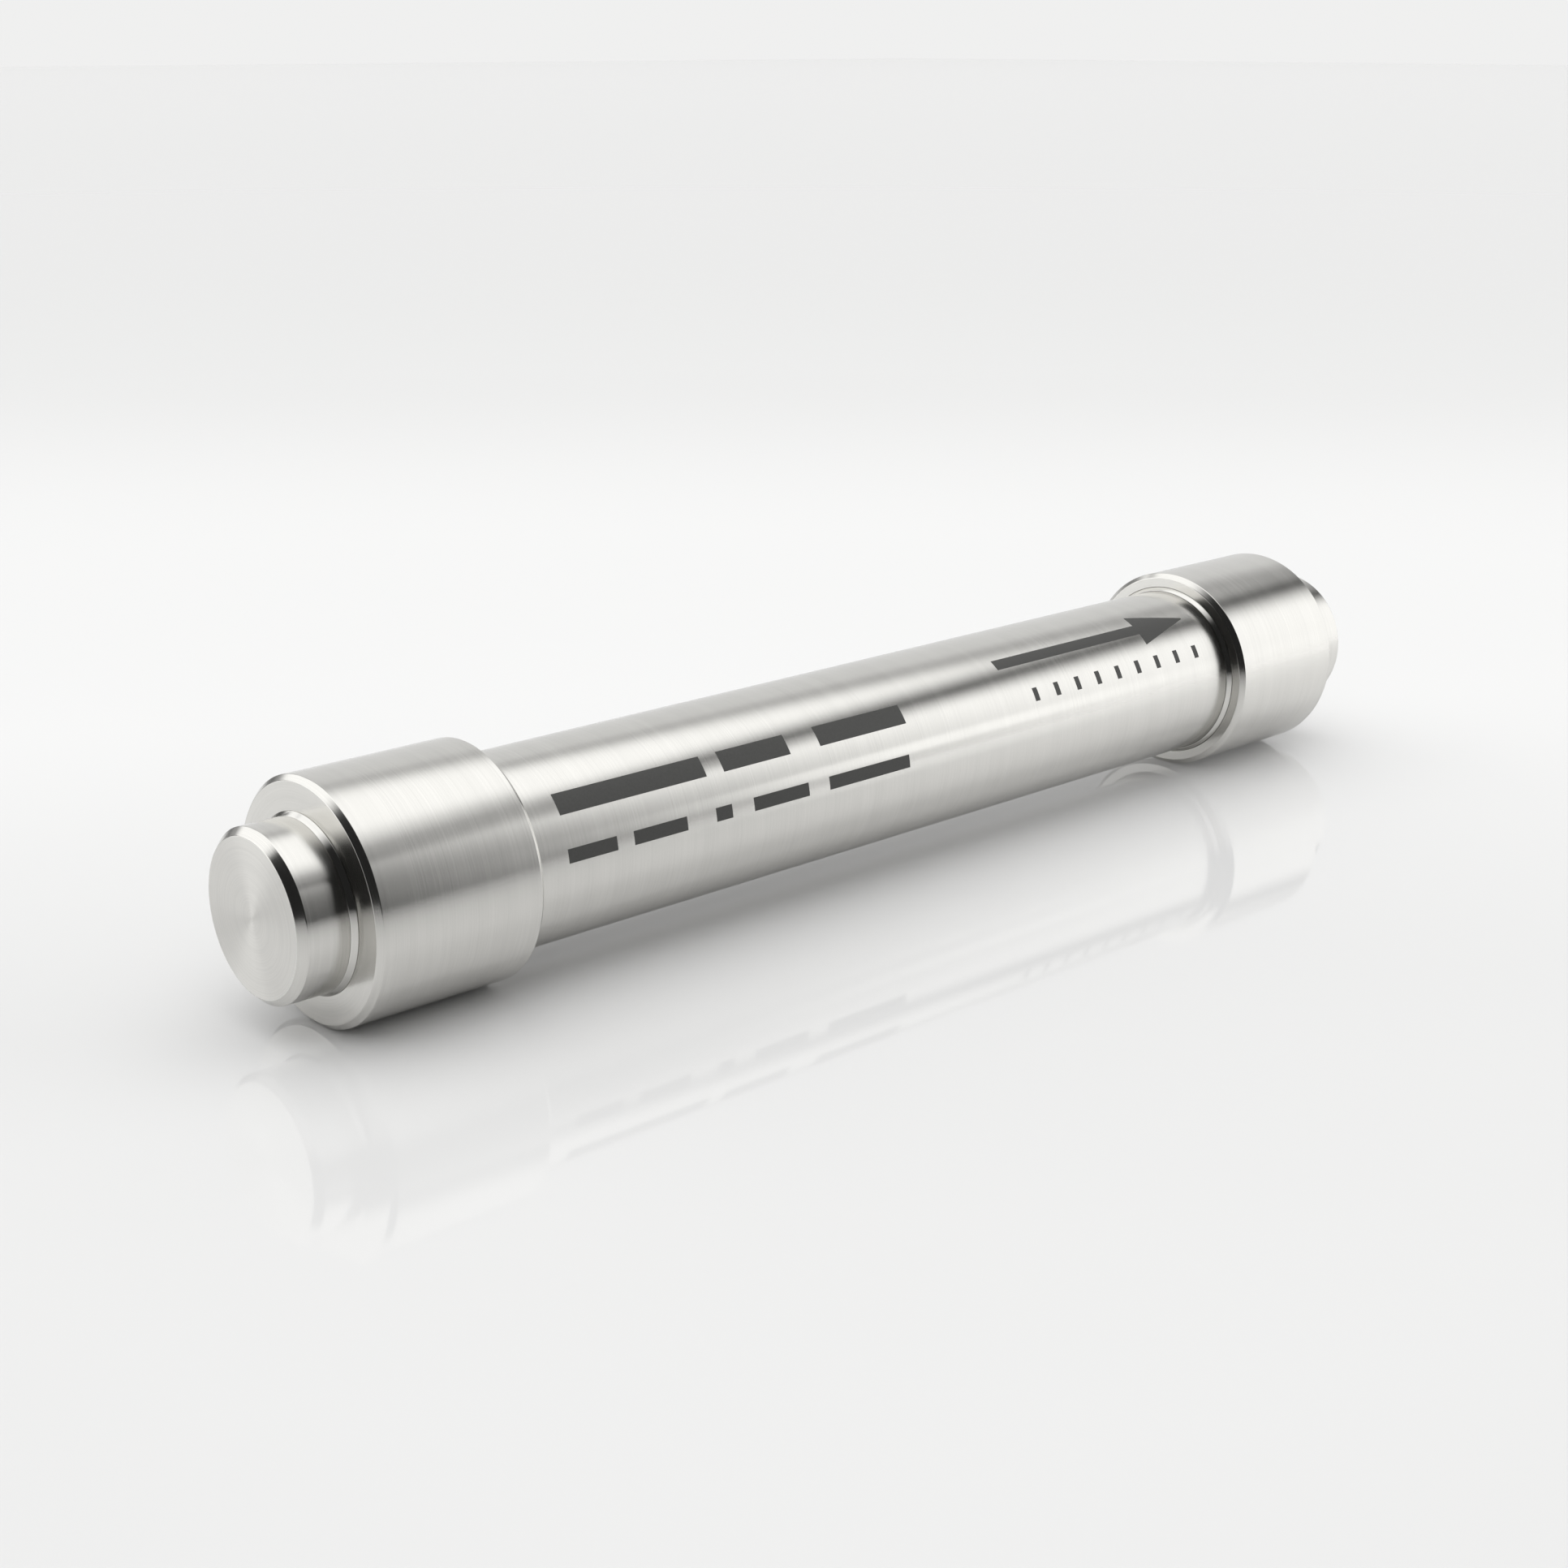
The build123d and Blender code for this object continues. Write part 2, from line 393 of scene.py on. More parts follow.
def ramp_between(tree, value, low, high, low_result=0.0, high_result=1.0, smooth=False):
    """Goes from one result to the other as the value goes from low to high, and stops there."""
    node = add_node(tree, "ShaderNodeMapRange", clamp=True)
    node.interpolation_type = "SMOOTHSTEP" if smooth else "LINEAR"
    tree.links.new(value, node.inputs["Value"])
    for key, number in (("From Min", low), ("From Max", high),
                        ("To Min", low_result), ("To Max", high_result)):
        node.inputs[key].default_value = number
    return node.outputs["Result"]


def noise(tree, vector, scale, detail=2.0, roughness=0.5):
    """A cloudy pattern between 0 and 1."""
    node = add_node(tree, "ShaderNodeTexNoise", noise_dimensions="3D")
    tree.links.new(vector, node.inputs["Vector"])
    node.inputs["Scale"].default_value = scale
    node.inputs["Detail"].default_value = detail
    node.inputs["Roughness"].default_value = roughness
    return node.outputs["Fac"]


def start_material(name):
    """A new material, with its nodes and its main shader."""
    material = bpy.data.materials.new(name)
    material.use_nodes = True
    tree = material.node_tree
    shader = next(node for node in tree.nodes if node.type == "BSDF_PRINCIPLED")
    return material, tree, shader


def shade_between(tree, factor, first, second):
    """A colour between two others."""
    node = add_node(tree, "ShaderNodeMix", data_type="RGBA")
    tree.links.new(factor, node.inputs["Factor"])
    node.inputs[MIX_FIRST].default_value = (*first, 1)
    node.inputs[MIX_SECOND].default_value = (*second, 1)
    return node.outputs[MIX_RESULT]


def bump(tree, shader, height, strength, distance):
    """Fine relief that only the light shows."""
    node = add_node(tree, "ShaderNodeBump")
    node.inputs["Strength"].default_value = strength
    node.inputs["Distance"].default_value = distance
    tree.links.new(height, node.inputs["Height"])
    tree.links.new(node.outputs["Normal"], shader.inputs["Normal"])


def ring_space(tree):
    """Coordinates that change along the axis and with the radius, and hardly at all round it."""
    place = add_node(tree, "ShaderNodeTexCoord").outputs["Object"]
    parts = add_node(tree, "ShaderNodeSeparateXYZ")
    tree.links.new(place, parts.inputs[0])
    x, y, z = parts.outputs
    squares = calculate(tree, "ADD", calculate(tree, "MULTIPLY", x, x),
                        calculate(tree, "MULTIPLY", y, y))
    radius = calculate(tree, "SQRT", squares)
    drift = calculate(tree, "MULTIPLY", calculate(tree, "ADD", x, y), RING_DRIFT)
    rings = add_node(tree, "ShaderNodeCombineXYZ")
    for socket, value in zip(rings.inputs, (radius, z, drift)):
        tree.links.new(value, socket)
    return place, rings.outputs[0]


def turned_steel(name, turning, matt=0.0, marks=1.0, face_matt=0.0):
    """Satin steel straight from the lathe, with ring marks round the axis on sides and faces.

    matt adds to the roughness everywhere. face_matt adds to that of the flat ends alone, whose
    marks also stretch the highlights further."""
    material, tree, shader = start_material(name)
    place, rings = ring_space(tree)
    fine = noise(tree, rings, 1 / turning.ring_spacing, detail=3.0, roughness=0.6)
    broad = noise(tree, rings, BROAD_MARKS / turning.ring_spacing, detail=2.0)
    cloud = noise(tree, place, STEEL_CLOUD, detail=4.0, roughness=0.6)
    colour = tuple(turning.steel_colour)
    streak = calculate(tree, "ADD", calculate(tree, "MULTIPLY", fine, FINE_SHARE),
                       calculate(tree, "MULTIPLY", broad, BROAD_SHARE))
    dark = tuple(channel * (1 - DARKER * marks) for channel in colour)
    light = tuple(min(1, channel * (1 + LIGHTER * marks)) for channel in colour)
    tone = ramp_between(tree, streak, STREAK_LOW, STREAK_HIGH)
    tree.links.new(shade_between(tree, tone, dark, light), shader.inputs["Base Color"])
    base = turning.roughness + matt
    rough = ramp_between(tree, streak, STREAK_LOW, STREAK_HIGH,
                         base - SMOOTHER * marks, base + ROUGHER * marks)
    uneven = ramp_between(tree, cloud, 0.35, 0.7, CLOUD_SMOOTHER, CLOUD_ROUGHER)
    rough = calculate(tree, "ADD", rough, uneven)
    if face_matt:
        facing = add_node(tree, "ShaderNodeSeparateXYZ")
        normal = add_node(tree, "ShaderNodeTexCoord").outputs["Normal"]
        tree.links.new(normal, facing.inputs[0])
        flat = calculate(tree, "ABSOLUTE", facing.outputs["Z"])
        on_face = ramp_between(tree, flat, FLAT_FROM, FLAT_TO, 0, face_matt)
        rough = calculate(tree, "ADD", rough, on_face)
        stretch = ramp_between(tree, flat, FLAT_FROM, FLAT_TO, turning.brushing, FACE_BRUSHING)
        tree.links.new(stretch, shader.inputs["Anisotropic"])
    tree.links.new(rough, shader.inputs["Roughness"])
    shader.inputs["Metallic"].default_value = 1.0
    shader.inputs["Anisotropic"].default_value = turning.brushing
    shader.inputs["Anisotropic Rotation"].default_value = 0.25
    tangent = add_node(tree, "ShaderNodeTangent", direction_type="RADIAL", axis="Z")
    tree.links.new(tangent.outputs[0], shader.inputs["Tangent"])
    bump(tree, shader, fine, 0.10 * marks, 0.004 * MM)
    return material


def sintered_steel(name):
    """Pressed and sintered powder: dull grey, with pores between the grains that are darkened
    with painted shade where the relief sinks.
    """
    material, tree, shader = start_material(name)
    place = add_node(tree, "ShaderNodeTexCoord").outputs["Object"]
    grains = add_node(tree, "ShaderNodeTexVoronoi")
    tree.links.new(place, grains.inputs["Vector"])
    grains.inputs["Scale"].default_value = SINTER_GRAIN
    # Painted shade: the tone darkens towards the cell edges, where the pores sink between the
    # grains.
    tone = ramp_between(tree, grains.outputs["Distance"], 0.0, 0.6)
    tree.links.new(shade_between(tree, tone, *SINTER_GRAIN_AND_PORE_SHADE), shader.inputs["Base Color"])
    shader.inputs["Metallic"].default_value = 0.85
    tree.links.new(ramp_between(tree, tone, 0, 1, 0.5, 0.8), shader.inputs["Roughness"])
    bump(tree, shader, calculate(tree, "SUBTRACT", 1.0, tone), 0.8, 0.01 * MM)
    return material


def turned_peek(name):
    """Natural PEEK, beige and slightly translucent, with light tool marks."""
    material, tree, shader = start_material(name)
    place, rings = ring_space(tree)
    marks = noise(tree, rings, PEEK_MARKS, detail=3.0)
    cloud = noise(tree, place, PEEK_CLOUD, detail=3.0)
    tree.links.new(shade_between(tree, cloud, *PEEK_TONES), shader.inputs["Base Color"])
    rough = ramp_between(tree, marks, STREAK_LOW, STREAK_HIGH, 0.38, 0.55)
    tree.links.new(rough, shader.inputs["Roughness"])
    shader.inputs["Subsurface Weight"].default_value = 0.15
    shader.inputs["Subsurface Scale"].default_value = 0.4 * MM
    bump(tree, shader, marks, 0.25, 0.005 * MM)
    return material


def packed_silica(name):
    """Fine white powder, slurry packed: matt, with faint grains."""
    material, tree, shader = start_material(name)
    place = add_node(tree, "ShaderNodeTexCoord").outputs["Object"]
    grains = noise(tree, place, SILICA_GRAIN, detail=2.0)
    cloud = noise(tree, place, SILICA_CLOUD, detail=3.0)
    tree.links.new(shade_between(tree, cloud, *SILICA_TONES), shader.inputs["Base Color"])
    rough = ramp_between(tree, grains, STREAK_LOW, STREAK_HIGH, 0.75, 0.95)
    tree.links.new(rough, shader.inputs["Roughness"])
    bump(tree, shader, grains, 0.5, 0.004 * MM)
    return material


def printed_ink(name, ink):
    """Baked marking ink: dark grey, satin, with tiny uneven spots."""
    material, tree, shader = start_material(name)
    place = add_node(tree, "ShaderNodeTexCoord").outputs["Object"]
    speck = noise(tree, place, INK_SPECK, detail=3.0)
    light = tuple(min(1, channel * INK_FADE) for channel in ink)
    tree.links.new(shade_between(tree, speck, tuple(ink), light), shader.inputs["Base Color"])
    rough = ramp_between(tree, speck, STREAK_LOW, STREAK_HIGH, 0.36, 0.5)
    tree.links.new(rough, shader.inputs["Roughness"])
    bump(tree, shader, speck, 0.2, 0.002 * MM)
    return material


def dress(piece, body, slot, material, *nodes):
    """Gives a piece its finish, the body it moves with and the nodes it stands for."""
    piece.data.materials.append(material)
    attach(piece, body)
    if nodes:
        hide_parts(*nodes)


def refinish(node, material):
    """Puts a better finish on a node that keeps its own shape."""
    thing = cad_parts[node]
    if not thing.material_slots:
        thing.data.materials.append(material)
    for slot in thing.material_slots:
        slot.material = material


# ---- Pieces ----

class COLUMN_OT_tube(bpy.types.Operator):
    """Make the column tube, with a threaded spigot and a counterbore at each end"""

    bl_idname = "column.tube"
    bl_label = "Column tube"

    def execute(self, context):
        scene = context.scene
        turning = scene.column_turning
        edge = turning.edge_round
        half = [
            (BORE_R, -BED_DEPTH, edge / 2),
            (COUNTERBORE_R, -BED_DEPTH, edge / 2),
            (COUNTERBORE_R, -TUBE_END, edge / 2),
            (SPIGOT_R - SPIGOT_CHAMFER, -TUBE_END, edge / 2),
            (SPIGOT_R, -TUBE_END - SPIGOT_CHAMFER, edge / 2),
            (SPIGOT_R, RELIEF_WIDTH - SHOULDER, edge / 2),
            (RELIEF_R, RELIEF_WIDTH - SHOULDER, edge / 2),
            (RELIEF_R, -SHOULDER, edge / 2),
            (TUBE_R, -SHOULDER, edge / 2),
        ]
        corners = to_section("outlet", half) + to_section("inlet", half)[::-1]
        threads = []
        for end in ENDS:
            levels = sorted((FACE[end] - OUTWARD[end] * TUBE_END,
                             FACE[end] + OUTWARD[end] * (RELIEF_WIDTH - SHOULDER)))
            cut = ridge(scene.column_thread, *levels, 1, -SPIGOT_THREAD)
            threads.append((SPIGOT_R, *levels, cut))
        tube = turned("tube", corners, turning, threads)
        dress(tube, "column", "tube_steel",
              turned_steel("turned steel of the tube", turning), "column_tube")
        return {"FINISHED"}


class COLUMN_OT_end_fittings(bpy.types.Operator):
    """Make the two end fittings, each with its port, its nose and the groove for the tube"""

    bl_idname = "column.end_fittings"
    bl_label = "End fittings"

    def execute(self, context):
        scene = context.scene
        turning = scene.column_turning
        edge, rim = turning.edge_round, turning.rim_round
        cone_mouth = PORT_DEPTH + (PORT_R - CONE_MOUTH_R) / math.tan(DRILL_ANGLE)
        pilot_mouth = cone_mouth + (CONE_MOUTH_R - PILOT_R) / math.tan(CONE_ANGLE)
        pilot_end = pilot_mouth + PILOT_LENGTH
        collar_seat_r = COLLAR_R + THIN_GAP
        tube_seat_r = TUBE_R + CLEARANCE
        thread_r = SPIGOT_R + CLEARANCE
        outline = [
            (PORT_R, 0, edge),
            (FITTING_R - RIM_CHAMFER, 0, rim),
            (FITTING_R, -RIM_CHAMFER, rim),
            (FITTING_R, RIM_CHAMFER - FITTING_LENGTH, rim),
            (FITTING_R - RIM_CHAMFER, -FITTING_LENGTH, rim),
            (collar_seat_r, -FITTING_LENGTH, edge),
            (collar_seat_r, COLLAR_SEAT - FITTING_LENGTH, edge / 2),
            (tube_seat_r, COLLAR_SEAT - FITTING_LENGTH, edge / 2),
            (tube_seat_r, CLEARANCE - SHOULDER, edge / 2),
            (thread_r, CLEARANCE - SHOULDER, edge / 2),
            (thread_r, -GROOVE, edge / 2),
            (NOSE_R, -GROOVE, edge / 2),
            (NOSE_R, -NOSE_TIP, edge),
            (FLOW_R, -NOSE_TIP, edge / 2),
            (FLOW_R, -pilot_end, edge / 2),
            (PILOT_R, -pilot_end, edge / 2),
            (PILOT_R, -pilot_mouth, edge / 2),
            (CONE_MOUTH_R, -cone_mouth, edge / 2),
            (PORT_R, -PORT_DEPTH, edge / 2),
        ]
        steel = turned_steel("turned steel of the fittings", turning)
        for end in ENDS:
            levels = sorted((FACE[end], FACE[end] - OUTWARD[end] * PORT_DEPTH))
            cut = ridge(scene.column_thread, *levels, OUTWARD[end], PORT_THREAD)
            fitting = turned(f"{end}_fitting", to_section(end, outline), turning,
                             [(PORT_R, *levels, cut)])
            dress(fitting, "column", "fitting_steel", steel, f"{end}_end_fitting")
        return {"FINISHED"}


class COLUMN_OT_collars(bpy.types.Operator):
    """Make the thin ring that fills the mouth of each fitting round the tube"""

    bl_idname = "column.collars"
    bl_label = "Collars"

    def execute(self, context):
        turning = context.scene.column_turning
        edge = turning.edge_round
        inner = TUBE_R + THIN_GAP
        outline = [
            (inner, COLLAR_SEAT - FITTING_LENGTH, edge / 3),
            (COLLAR_R, COLLAR_SEAT - FITTING_LENGTH, edge / 3),
            (COLLAR_R, -FITTING_LENGTH, edge),
            (LIP_R, -FITTING_LENGTH - COLLAR_LIP, edge / 3),
            (inner, -FITTING_LENGTH - COLLAR_LIP, edge / 3),
        ]
        steel = turned_steel("bright steel of the collars", turning, matt=-0.04, marks=1.6)
        for end in ENDS:
            collar = turned(f"{end}_ring", to_section(end, outline), turning)
            dress(collar, "column", "collar_steel", steel, f"{end}_collar")
        return {"FINISHED"}


class COLUMN_OT_blanking_plugs(bpy.types.Operator):
    """Make the two blanking plugs, each with a threaded shank and a washer under its head"""

    bl_idname = "column.blanking_plugs"
    bl_label = "Blanking plugs"

    def execute(self, context):
        scene = context.scene
        turning = scene.column_turning
        edge = turning.edge_round
        plug_steel = turned_steel("turned steel of the plugs", turning, face_matt=0.13)
        washer_steel = turned_steel("bright steel of the washers", turning, matt=-0.04)
        for end in ENDS:
            low, high = span(f"{end}_plug")
            height = high - FACE[end] if end == "inlet" else FACE[end] - low
            head = [
                (0, height, 0),
                (HEAD_R - HEAD_BEVEL, height, turning.rim_round),
                (HEAD_R, height - HEAD_BEVEL, turning.rim_round),
                (HEAD_R, WASHER_THICK, edge),
                (SHANK_R, WASHER_THICK, edge / 2),
                (SHANK_R, SHANK_CHAMFER - SHANK_LENGTH, edge / 2),
                (SHANK_R - SHANK_CHAMFER, -SHANK_LENGTH, edge / 2),
                (PIN_SOCKET_R, -SHANK_LENGTH, edge / 2),
                (PIN_SOCKET_R, -PIN_SOCKET_DEPTH, edge / 2),
                (0, -PIN_SOCKET_DEPTH, 0),
            ]
            levels = sorted((FACE[end] + OUTWARD[end] * WASHER_THICK,
                             FACE[end] - OUTWARD[end] * SHANK_LENGTH))
            cut = ridge(scene.column_thread, *levels, OUTWARD[end],
                        -scene.column_thread.depth)
            plug = turned(f"{end}_stopper", to_section(end, head), turning,
                          [(SHANK_R, *levels, cut)])
            dress(plug, f"{end}_blanking_plug", "plug_steel", plug_steel, f"{end}_plug")
            ring = [
                (WASHER_BORE_R, 0, edge / 2),
                (WASHER_R, 0, edge),
                (HEAD_R, WASHER_THICK, edge),
                (WASHER_BORE_R, WASHER_THICK, edge / 2),
            ]
            washer = turned(f"{end}_washer", to_section(end, ring), turning)
            dress(washer, f"{end}_washer_carrier", "washer_steel", washer_steel,
                  f"{end}_plug_washer")
        return {"FINISHED"}


class COLUMN_OT_inner_pieces(bpy.types.Operator):
    """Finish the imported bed, the frit stacks and the pins and ferrules of the plugs"""

    bl_idname = "column.inner_pieces"
    bl_label = "Inner pieces"

    def execute(self, context):
        turning = context.scene.column_turning
        refinish("packed_bed", packed_silica("packed silica"))
        frit = sintered_steel("sintered steel of the frits")
        peek = turned_peek("natural PEEK")
        lapped = turned_steel("lapped steel of the discs", turning, matt=0.08, marks=0.5)
        drawn = turned_steel("drawn steel of the pins", turning, matt=0.05, marks=0.7)
        for end in ENDS:
            refinish(f"{end}_frit", frit)
            refinish(f"{end}_frit_ring", peek)
            refinish(f"{end}_plug_ferrule", peek)
            refinish(f"{end}_distributor", lapped)
            refinish(f"{end}_plug_pin", drawn)
        return {"FINISHED"}


# ---- Printed marks ----
# Each mark lies between two levels on the axis, and between two angles round the tube that may
# change from the first level to the second. A level is in millimetres. An angle is counted from
# -Y towards -X, in degrees.

BROAD_LINE = [(60.3, 51.6), (50.5, 46.2), (44.2, 38.2)]
FINE_LINE = [(60.4, 57.6), (56.6, 53.4), (51.6, 50.6), (49.2, 45.6), (44.2, 38.6)]
TICKS = [28.6, 26.9, 25.2, 23.5, 21.8, 20.1, 18.4, 16.7, 15.0]
ARROW_TAIL, ARROW_NECK, ARROW_TIP = 30.2, 18.4, 14.4
MARK_STEPS, MARK_ROWS = 12, 6   # divisions round the tube and along it
TICK_WIDTH = 0.35
INK_SUNK = 0.002 * MM           # how far a mark's underside lies within the tube
BROAD_BAND, FINE_BAND, TICK_BAND = (44, 57), (76, 84), (56, 65)
SHAFT_BAND, BARB_BAND, POINT_BAND = (30, 38), (21, 47), (33.5, 34.5)


def wrapped_mark(marks, first, second, thickness):
    """Adds a closed slab that follows the tube. first and second are (level, low, high)."""
    layers = []
    for r in (TUBE_R - INK_SUNK, TUBE_R + thickness):
        grid = []
        for i in range(MARK_ROWS + 1):
            t = i / MARK_ROWS
            level, low, high = (a + (b - a) * t for a, b in zip(first, second))
            line = []
            for j in range(MARK_STEPS + 1):
                angle = math.radians(low + (high - low) * j / MARK_STEPS)
                line.append(marks.verts.new(
                    (-r * math.sin(angle), -r * math.cos(angle), level * MM)))
            grid.append(line)
        layers.append(grid)
    inner, outer = layers
    for i in range(MARK_ROWS):
        for j in range(MARK_STEPS):
            marks.faces.new((outer[i][j], outer[i][j + 1], outer[i + 1][j + 1], outer[i + 1][j]))
            marks.faces.new((inner[i][j], inner[i + 1][j], inner[i + 1][j + 1], inner[i][j + 1]))
    for j in range(MARK_STEPS):
        for i in (0, MARK_ROWS):
            marks.faces.new((outer[i][j], inner[i][j], inner[i][j + 1], outer[i][j + 1]))
    for i in range(MARK_ROWS):
        for j in (0, MARK_STEPS):
            marks.faces.new((outer[i][j], outer[i + 1][j], inner[i + 1][j], inner[i][j]))


class COLUMN_OT_marks(bpy.types.Operator):
    """Print plain fields, a flow arrow and a row of ticks on the tube"""

    bl_idname = "column.marks"
    bl_label = "Printed marks"

    def execute(self, context):
        settings = context.scene.column_marks
        thickness = settings.thickness
        marks = bmesh.new()
        for first, second in BROAD_LINE:
            wrapped_mark(marks, (first, *BROAD_BAND), (second, *BROAD_BAND), thickness)
        for first, second in FINE_LINE:
            wrapped_mark(marks, (first, *FINE_BAND), (second, *FINE_BAND), thickness)
        for level in TICKS:
            wrapped_mark(marks, (level, *TICK_BAND), (level - TICK_WIDTH, *TICK_BAND), thickness)
        wrapped_mark(marks, (ARROW_TAIL, *SHAFT_BAND), (ARROW_NECK, *SHAFT_BAND), thickness)
        wrapped_mark(marks, (ARROW_NECK, *BARB_BAND), (ARROW_TIP, *POINT_BAND), thickness)
        bmesh.ops.recalc_face_normals(marks, faces=marks.faces)
        mesh = bpy.data.meshes.new("marks")
        marks.to_mesh(mesh)
        marks.free()
        piece = bpy.data.objects.new("marks", mesh)
        context.scene.collection.objects.link(piece)
        dress(piece, "column", "tube_steel", printed_ink("marking ink", tuple(settings.ink)))
        return {"FINISHED"}


# ---- Stage: glossy table, light tent and camera ----
# The column lies on the table with its -Y side up. The tent is laid out from the camera: right,
# up and away are directions in the frame, and each white panel is a window seen from the column.

RIGHT = Vector((-0.67479, 0, -0.73800))
UP = Vector((0, -1, 0))
AWAY = Vector((0.73800, 0, -0.67479))
LOOK_DOWN = math.asin(0.30303)
BACKDROP = 0.87                 # brightness that the camera sees behind the table
FAR_LOW, FAR_HIGH = 0.571, 0.827        # how far away the bare tent turns from dark to bright
DARK_SIDE, BRIGHT_SIDE = 0.021, 0.824
LEAST_SLOPE = 0.02              # keeps the slopes finite where a direction runs along a panel
OVERHEAD_FILL, FRONT_FILL, EVEN_FILL = 1.88, 3.2, 0.06
# Each panel: its side of the tent, its ranges of that side's two slopes, its soft edge and its
# brightness, where WHITE is the strength that the user sets. A later one covers an earlier one.
WHITE = None
PANELS = (
    ("right", (-0.308, 0.10), (-0.2, 0.729), 0.05, 0.35),
    ("right", (-0.308, 0.20), (0.895, 1.6), 0.06, 0.42),
    ("right", (-0.115, 0.005), (0.072, 0.232), 0.04, 2.3),
    ("left", (-0.36, 0.50), (-0.2, 0.7), 0.12, WHITE),
    ("left", (1.15, 1.80), (-0.1, 0.848), 0.16, 0.16),
    ("roof", (-1.575, 0.822), (-0.262, 0.92), 0.24, WHITE),
    ("right", (-0.105, 0.843), (-0.2, 0.815), 0.20, WHITE),
    ("left", (-0.359, 1.162), (0.318, 0.941), 0.09, WHITE),
)
TENT_TINT = (1, 1, 0.995, 1)
# The painted pool of light on the table: its tint, and where it starts and ends along AWAY.
PAINTED_POOL_TINT = (1, 1, 0.998, 1)
PAINTED_POOL_NEAR = (-45 * MM, 0)       # where the painted pool of light on the table starts, along AWAY
PAINTED_POOL_FAR = (60 * MM, 160 * MM)  # and where it ends
TABLE_ROUGHNESS, TABLE_IOR = 0.05, 1.45
SENSOR_WIDTH = 36.0
CLIP_NEAR, CLIP_FAR = 0.001, 100.0


def window(tree, slopes, ranges, soft):
    """1 inside a soft-edged rectangle, given as the ranges of two slopes, and 0 outside it."""
    inside = None
    for slope, (low, high) in zip(slopes, ranges):
        away = calculate(tree, "ABSOLUTE", calculate(tree, "SUBTRACT", slope, (low + high) / 2))
        size = (high - low) / 2
        part = ramp_between(tree, away, size - soft, size + soft, 1.0, 0.0, smooth=True)
        inside = part if inside is None else calculate(tree, "MULTIPLY", inside, part)
    return inside


def cover(tree, under, mask, value):
    """value where the mask is 1, and what is under it elsewhere."""
    node = add_node(tree, "ShaderNodeMix", data_type="FLOAT")
    tree.links.new(mask, node.inputs["Factor"])
    tree.links.new(under, node.inputs["A"])
    node.inputs["B"].default_value = value
    return node.outputs["Result"]


def light_tent(scene, strength, dome):
    """Sets the light. Gloss, matt surfaces and the camera each see a different brightness: gloss
    mirrors the panels, matt surfaces gather only the fill, and the camera sees the backdrop."""
    world = bpy.data.worlds.new("light tent")
    scene.world = world
    world.use_nodes = True
    tree = world.node_tree
    background = next(node for node in tree.nodes if node.type == "BACKGROUND")
    ray = add_node(tree, "ShaderNodeTexCoord").outputs["Generated"]
    parts = []
    for direction in (RIGHT, UP, AWAY):
        dot = add_node(tree, "ShaderNodeVectorMath", operation="DOT_PRODUCT")
        tree.links.new(ray, dot.inputs[0])
        dot.inputs[1].default_value = direction
        parts.append(dot.outputs["Value"])
    right, up, away = parts
    over = calculate(tree, "MAXIMUM", up, LEAST_SLOPE)
    beside = calculate(tree, "MAXIMUM", right, LEAST_SLOPE)
    beside_left = calculate(tree, "MAXIMUM", calculate(tree, "MULTIPLY", right, -1), LEAST_SLOPE)
    slopes = {
        "roof": [calculate(tree, "DIVIDE", part, over) for part in (right, away)],
        "right": [calculate(tree, "DIVIDE", part, beside) for part in (away, up)],
        "left": [calculate(tree, "DIVIDE", part, beside_left) for part in (away, up)],
    }
    glow = ramp_between(tree, away, FAR_LOW, FAR_HIGH, DARK_SIDE, BRIGHT_SIDE)
    for side, *ranges, soft, level in PANELS:
        mask = window(tree, slopes[side], ranges, soft)
        glow = cover(tree, glow, mask, strength if level is WHITE else level)
    path = add_node(tree, "ShaderNodeLightPath")
    height = calculate(tree, "MAXIMUM", up, 0)
    toward = calculate(tree, "MAXIMUM", calculate(tree, "MULTIPLY", away, -1), 0)
    front = calculate(tree, "POWER", calculate(tree, "MULTIPLY", toward, height), 2)
    overhead = calculate(tree, "POWER", height, 3)
    fill = calculate(tree, "MULTIPLY_ADD", overhead, OVERHEAD_FILL * dome, EVEN_FILL * dome)
    fill = calculate(tree, "MULTIPLY_ADD", front, FRONT_FILL * dome, fill)
    glow_kinds = add_node(tree, "ShaderNodeMix", data_type="FLOAT")
    tree.links.new(path.outputs["Is Diffuse Ray"], glow_kinds.inputs["Factor"])
    tree.links.new(glow, glow_kinds.inputs["A"])
    tree.links.new(fill, glow_kinds.inputs["B"])
    glow = glow_kinds.outputs["Result"]
    glow = cover(tree, glow, path.outputs["Is Camera Ray"], BACKDROP)
    tree.links.new(glow, background.inputs["Strength"])
    background.inputs["Color"].default_value = TENT_TINT


